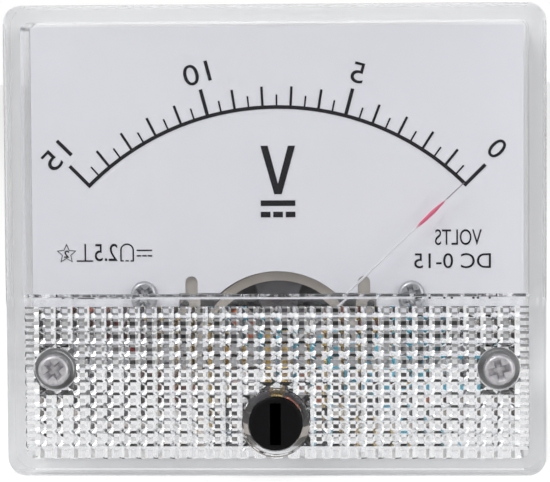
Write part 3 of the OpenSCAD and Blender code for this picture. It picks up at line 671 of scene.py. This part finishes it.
def direct_current(x0, x1, bar_y, dash_y, weight):
    """The sign for direct current: a bar over three dashes."""
    dash = (x1 - x0) * 0.28
    gap = (x1 - x0 - 3 * dash) / 2
    return [strip(x0, x1, bar_y, bar_y + weight)] + [
        strip(x0 + i * (dash + gap), x0 + i * (dash + gap) + dash, dash_y, dash_y + weight)
        for i in range(3)]


flat_shapes("volt_sign_left", [[(-1.97, 12.95), (-0.33, 7.12), (0.12, 7.12), (0.12, 8.38),
                                (-1.1, 12.95)]])
flat_shapes("volt_sign_right", [[(0.12, 7.12), (0.57, 7.12), (2.2, 12.95), (1.34, 12.95),
                                 (0.12, 8.38)]])
flat_shapes("unit_direct_current", direct_current(-1.97, 2.2, 5.71, 4.34, 0.67))
flat_shapes("symbol_direct_current", direct_current(-16.98, -15.12, 0.32, -0.34, 0.17))
flat_shapes("symbol_upright", [strip(-24.25, -22.25, -0.95, -0.78),
                               strip(-23.3, -23.12, -0.78, 1.2)])
lettering("symbol_class", "2.5", -20.68, 0.16, 2.75, 2.1)

# A horseshoe magnet stands for the moving-coil movement.
inner, outer, foot, foot_top = 0.66, 0.83, -1.35, -1.2
bm = bmesh.new()
arch = [bm.verts.new((r * mm, 0, 0)) for r in (inner, outer)]
bmesh.ops.spin(bm, geom=arch + [bm.edges.new(arch)], cent=(0, 0, 0), axis=(0, 0, 1),
               dvec=(0, 0, 0), angle=math.pi, steps=16, use_merge=False)
for x0, x1, y0, y1 in ((-outer, -inner, foot, 0), (inner, outer, foot, 0),
                       (-outer, -0.42, foot, foot_top), (0.42, outer, foot, foot_top),
                       (-0.2, 0.2, foot, foot_top)):
    bm.faces.new([bm.verts.new((x * mm, y * mm, 0)) for x, y in strip(x0, x1, y0, y1)])
bmesh.ops.translate(bm, vec=(-18.15 * mm, 0.42 * mm, 0), verts=bm.verts)
thicken(bm)
printed(bm, "symbol_moving_coil")

# A star with a figure stands for the test voltage in kilovolts.
star_x, point_r, notch_r = -25.48, 1.26, 0.58
bm = bmesh.new()
star = [Vector((r * math.sin(math.radians(36 * i)), r * math.cos(math.radians(36 * i)), 0))
        for i, r in enumerate((point_r, notch_r) * 5)]
rings(bm, [[p * mm for p in star], [p * 0.84 * mm for p in star]])
bmesh.ops.translate(bm, vec=(star_x * mm, 0, 0), verts=bm.verts)
thicken(bm)
printed(bm, "symbol_star")
lettering("symbol_star_figure", "2", star_x, -0.02, 0.62, 0.88, heavy=0.02)
lettering("legend_upper", "VOLTS", 21.75, 1.88, 5.6, 1.9)
lettering("legend_lower", "DC 0-15", 21.05, -0.95, 9.2, 1.8)

head_h, shank_r = 1.1 * mm, 0.95 * mm
pan_screw("dial_screw_left", head_h, shank_r, 35)
pan_screw("dial_screw_right", head_h, shank_r, 12)


# ---- Zero adjuster ----
# A black acetal button that snaps into the collar of the cover, with a
# screwdriver slot across its face and a crank pin that moves the zero lever.

black_acetal = finish("black_acetal", card_rgb(16, 14, 17), card_rgb(8, 7, 9), (0.34, 0.5),
                      cloud=420, grain=2600, stretch=(1, 1, 0.12), depth=0.008,
                      Specular_IOR_Level=0.12)
axle = Vector(next(j for j in frame["joints"] if j["name"] == "zero_adjuster_turn")["pos_m"])
low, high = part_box("zero_adjuster")
head_r, face, slot_floor = (high.x - low.x) / 2, -low.y, -low.y - 1.3 * mm
half_w, half_h = 0.575 * mm, 2.4 * mm
slot = [(half_w, -half_h), (half_w, half_h), (-half_w, half_h), (-half_w, -half_h)]
lipped = [(x * 1.12, y * 1.03) for x, y in slot]
foot, barb, underside = 10.6 * mm, 11.1 * mm, 12.85 * mm
foot_r, lead_in_r, barb_r, stem_r = 1.2 * mm, 1.7 * mm, 2.2 * mm, 1.8 * mm
bm = bmesh.new()
walls = rings(bm, [round_loop(r, z, 64, -45) for r, z in (
    (foot_r, foot), (lead_in_r, foot), (barb_r, barb), (stem_r, barb), (stem_r, underside),
    (head_r - 0.1 * mm, underside), (head_r, underside + 0.1 * mm),
    (head_r, face - 0.3 * mm), (head_r - 0.09 * mm, face - 0.09 * mm),
    (head_r - 0.3 * mm, face), (head_r - 0.55 * mm, face))]
    + [sided_loop(lipped, face, 64), sided_loop(slot, face - 0.07 * mm, 64),
       sided_loop(slot, slot_floor, 64)])
bmesh.ops.contextual_create(bm, geom=walls[0])
bmesh.ops.contextual_create(bm, geom=walls[-1])
crank_r, pin_r, pin_tip, pin_root = 0.55 * mm, 0.4 * mm, 8.7 * mm, 10.7 * mm
shaft = bmesh.new()
turned(shaft, [(0, pin_tip), (pin_r - 0.1 * mm, pin_tip), (pin_r, pin_tip + 0.1 * mm),
               (pin_r, pin_root), (0, pin_root)], steps=24)
bmesh.ops.translate(shaft, vec=(0, -crank_r, 0), verts=shaft.verts)
crank = bpy.data.meshes.new("crank")
shaft.to_mesh(crank)
shaft.free()
bm.from_mesh(crank)
bpy.data.meshes.remove(crank)
bmesh.ops.transform(bm, matrix=Matrix.Translation((axle.x, 0, axle.z)) @ stand_up, verts=bm.verts)
made(bm, "slotted_adjuster", "adjuster", black_acetal, "black_plastic", "zero_adjuster", sharp=25)


# ---- Clear cover ----
# One clear polystyrene moulding: a plain window above, a band of square prisms
# moulded on the inside below, and a collar round the zero adjuster. Light that
# only casts shadows passes straight through it, less where the prisms turn it away.

clear = finish("clear_polystyrene", card_rgb(252, 252, 253), card_rgb(250, 251, 253),
               (0.012, 0.035), cloud=90, grain=500, depth=0.004, IOR=1.5,
               Specular_IOR_Level=0.15)
prisms_half_w, prisms_top = 29.5 * mm, -5.9 * mm
tree = clear.node_tree
make, join = tree.nodes.new, tree.links.new
shader = tree.nodes["Principled BSDF"]
shader.inputs["Transmission Weight"].default_value = 1
light_path, through = make("ShaderNodeLightPath"), make("ShaderNodeBsdfTransparent")
spot, apart = make("ShaderNodeTexCoord"), make("ShaderNodeSeparateXYZ")
width, inside = make("ShaderNodeMath"), make("ShaderNodeMath")
below, prisms = make("ShaderNodeMath"), make("ShaderNodeMath")
passed, either = make("ShaderNodeMix"), make("ShaderNodeMixShader")
width.operation, prisms.operation = "ABSOLUTE", "MULTIPLY"
inside.operation = below.operation = "LESS_THAN"
inside.inputs[1].default_value = prisms_half_w
below.inputs[1].default_value = prisms_top
passed.data_type = "RGBA"
passed.inputs["A"].default_value = (0.99, 0.99, 0.993, 1)
passed.inputs["B"].default_value = (0.8, 0.8, 0.805, 1)
join(spot.outputs["Object"], apart.inputs["Vector"])
join(apart.outputs["X"], width.inputs[0])
join(width.outputs["Value"], inside.inputs[0])
join(apart.outputs["Z"], below.inputs[0])
join(inside.outputs["Value"], prisms.inputs[0])
join(below.outputs["Value"], prisms.inputs[1])
join(prisms.outputs["Value"], passed.inputs["Factor"])
join(passed.outputs["Result"], through.inputs["Color"])
join(light_path.outputs["Is Shadow Ray"], either.inputs["Fac"])
join(shader.outputs["BSDF"], either.inputs[1])
join(through.outputs["BSDF"], either.inputs[2])
join(either.outputs["Shader"], tree.nodes["Material Output"].inputs["Surface"])
dress(clear, "front_cover")


# ---- Cover screws ----
# Two zinc plated pan head screws with a cross recess stand in wells at the foot of
# the cover and hold it down to the base.

screw_zinc = finish("screw_zinc", card_rgb(236, 234, 237), card_rgb(150, 148, 152), (0.3, 0.5),
                    cloud=1500, grain=4200, depth=0.05, Metallic=0.75)
head_h, shank_r = 1.3 * mm, 0.95 * mm
pan_screw("cover_screw_left", head_h, shank_r, 40, screw_zinc)
pan_screw("cover_screw_right", head_h, shank_r, 14, screw_zinc)


# ---- Studio ----
# A white table and backdrop, three soft lamps, and a long lens nearly square to
# the face. The table ends just in front of the meter and the room behind the lens
# is dimmer, so that the clear cover mirrors little of them.

table_half, table_front = 3, cad_low.y - 0.12
table = bpy.data.meshes.new("table")
bm = bmesh.new()
bmesh.ops.create_grid(bm, x_segments=1, y_segments=1, size=table_half)
bmesh.ops.translate(bm, vec=(0, table_half + table_front, cad_low.z), verts=bm.verts)
bm.to_mesh(table)
bm.free()
table = bpy.data.objects.new("table", table)
bpy.context.scene.collection.objects.link(table)
table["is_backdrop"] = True


def seen_or_mirrored(tree):
    """1 for what the lens sees, directly, in gloss or through the clear cover."""
    make, join = tree.nodes.new, tree.links.new
    path, first, second = (make("ShaderNodeLightPath"), make("ShaderNodeMath"),
                           make("ShaderNodeMath"))
    first.operation = second.operation = "MAXIMUM"
    join(path.outputs["Is Camera Ray"], first.inputs[0])
    join(path.outputs["Is Glossy Ray"], first.inputs[1])
    join(first.outputs["Value"], second.inputs[0])
    join(path.outputs["Is Transmission Ray"], second.inputs[1])
    return second.outputs["Value"]


# The table's own white shows to the lens and in gloss, and lights nothing.
glow_in_gloss, glow_to_lens = 0.28, 0.24
paper = bpy.data.materials.new("white_paper")
paper.use_nodes = True
tree = paper.node_tree
make, join = tree.nodes.new, tree.links.new
shader = tree.nodes["Principled BSDF"]
shader.inputs["Base Color"].default_value = (0.82, 0.82, 0.82, 1)
shader.inputs["Roughness"].default_value = 0.9
shader.inputs["Specular IOR Level"].default_value = 0.1
shader.inputs["Emission Color"].default_value = (1, 1, 1, 1)
ray, dimmed, lift = (make("ShaderNodeLightPath"), make("ShaderNodeMath"),
                     make("ShaderNodeMath"))
dimmed.operation, lift.operation = "MULTIPLY", "MULTIPLY_ADD"
dimmed.inputs[1].default_value = glow_in_gloss
lift.inputs[1].default_value = glow_to_lens
join(seen_or_mirrored(tree), dimmed.inputs[0])
join(ray.outputs["Is Camera Ray"], lift.inputs[0])
join(dimmed.outputs["Value"], lift.inputs[2])
join(lift.outputs["Value"], shader.inputs["Emission Strength"])
table.data.materials.append(paper)

# The backdrop is white to the lens, dimmer behind it, and lights the meter softly.
soft_light, room_light, room_from, room_to = 0.36, 0.3, -0.95, -0.6
world = bpy.data.worlds.new("studio")
world.use_nodes = True
bpy.context.scene.world = world
tree = world.node_tree
make, join = tree.nodes.new, tree.links.new
sky = tree.nodes["Background"]
sky.inputs["Color"].default_value = (1, 1, 1, 1)
heading, split = make("ShaderNodeTexCoord"), make("ShaderNodeSeparateXYZ")
room, level = make("ShaderNodeMapRange"), make("ShaderNodeMapRange")
seen, at_least = make("ShaderNodeLightPath"), make("ShaderNodeMath")
at_least.operation = "MAXIMUM"
for socket, value in (("From Min", room_from), ("From Max", room_to), ("To Min", room_light),
                      ("To Max", 1)):
    room.inputs[socket].default_value = value
level.inputs["To Min"].default_value = soft_light
join(heading.outputs["Generated"], split.inputs["Vector"])
join(split.outputs["Y"], room.inputs["Value"])
join(seen.outputs["Is Camera Ray"], at_least.inputs[0])
join(room.outputs["Result"], at_least.inputs[1])
join(at_least.outputs["Value"], level.inputs["To Max"])
join(seen_or_mirrored(tree), level.inputs["Value"])
join(level.outputs["Result"], sky.inputs["Strength"])

middle = (cad_low + cad_high) / 2
for name, place, size, power in (("lamp_over_left", (-0.5, -0.75, 0.75), 0.6, 3.85),
                                 ("lamp_right", (0.75, -0.6, 0.2), 0.5, 1.75),
                                 ("lamp_top", (0.1, 0.15, 0.9), 0.7, 1.4)):
    lamp = bpy.data.lights.new(name, "AREA")
    lamp.shape, lamp.size, lamp.energy = "SQUARE", size, power
    lamp = bpy.data.objects.new(name, lamp)
    lamp.location = place
    lamp.rotation_euler = (middle - Vector(place)).to_track_quat("-Z", "Y").to_euler()
    bpy.context.scene.collection.objects.link(lamp)

camera = bpy.data.cameras.new("camera")
camera.lens, camera.sensor_width = 193.7, 36
camera.clip_start, camera.clip_end = 0.01, 20
azimuth, elevation, roll = math.radians(2.6), math.radians(3.5), math.radians(-0.35)
target, distance = Vector((0, -0.014, 0.00186)), 0.35
back = Vector((math.sin(azimuth) * math.cos(elevation), -math.cos(azimuth) * math.cos(elevation),
               math.sin(elevation)))
right = Vector((math.cos(azimuth), math.sin(azimuth), 0))
upward = back.cross(right)
turned_right = right * math.cos(roll) + upward * math.sin(roll)
turned_up = upward * math.cos(roll) - right * math.sin(roll)
camera = bpy.data.objects.new("camera", camera)
camera.matrix_world = (Matrix.Translation(target + back * distance)
                       @ Matrix((turned_right, turned_up, back)).transposed().to_4x4())
bpy.context.scene.collection.objects.link(camera)
bpy.context.scene.camera = camera
bpy.context.scene.view_settings.view_transform = "Standard"

low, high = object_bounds()
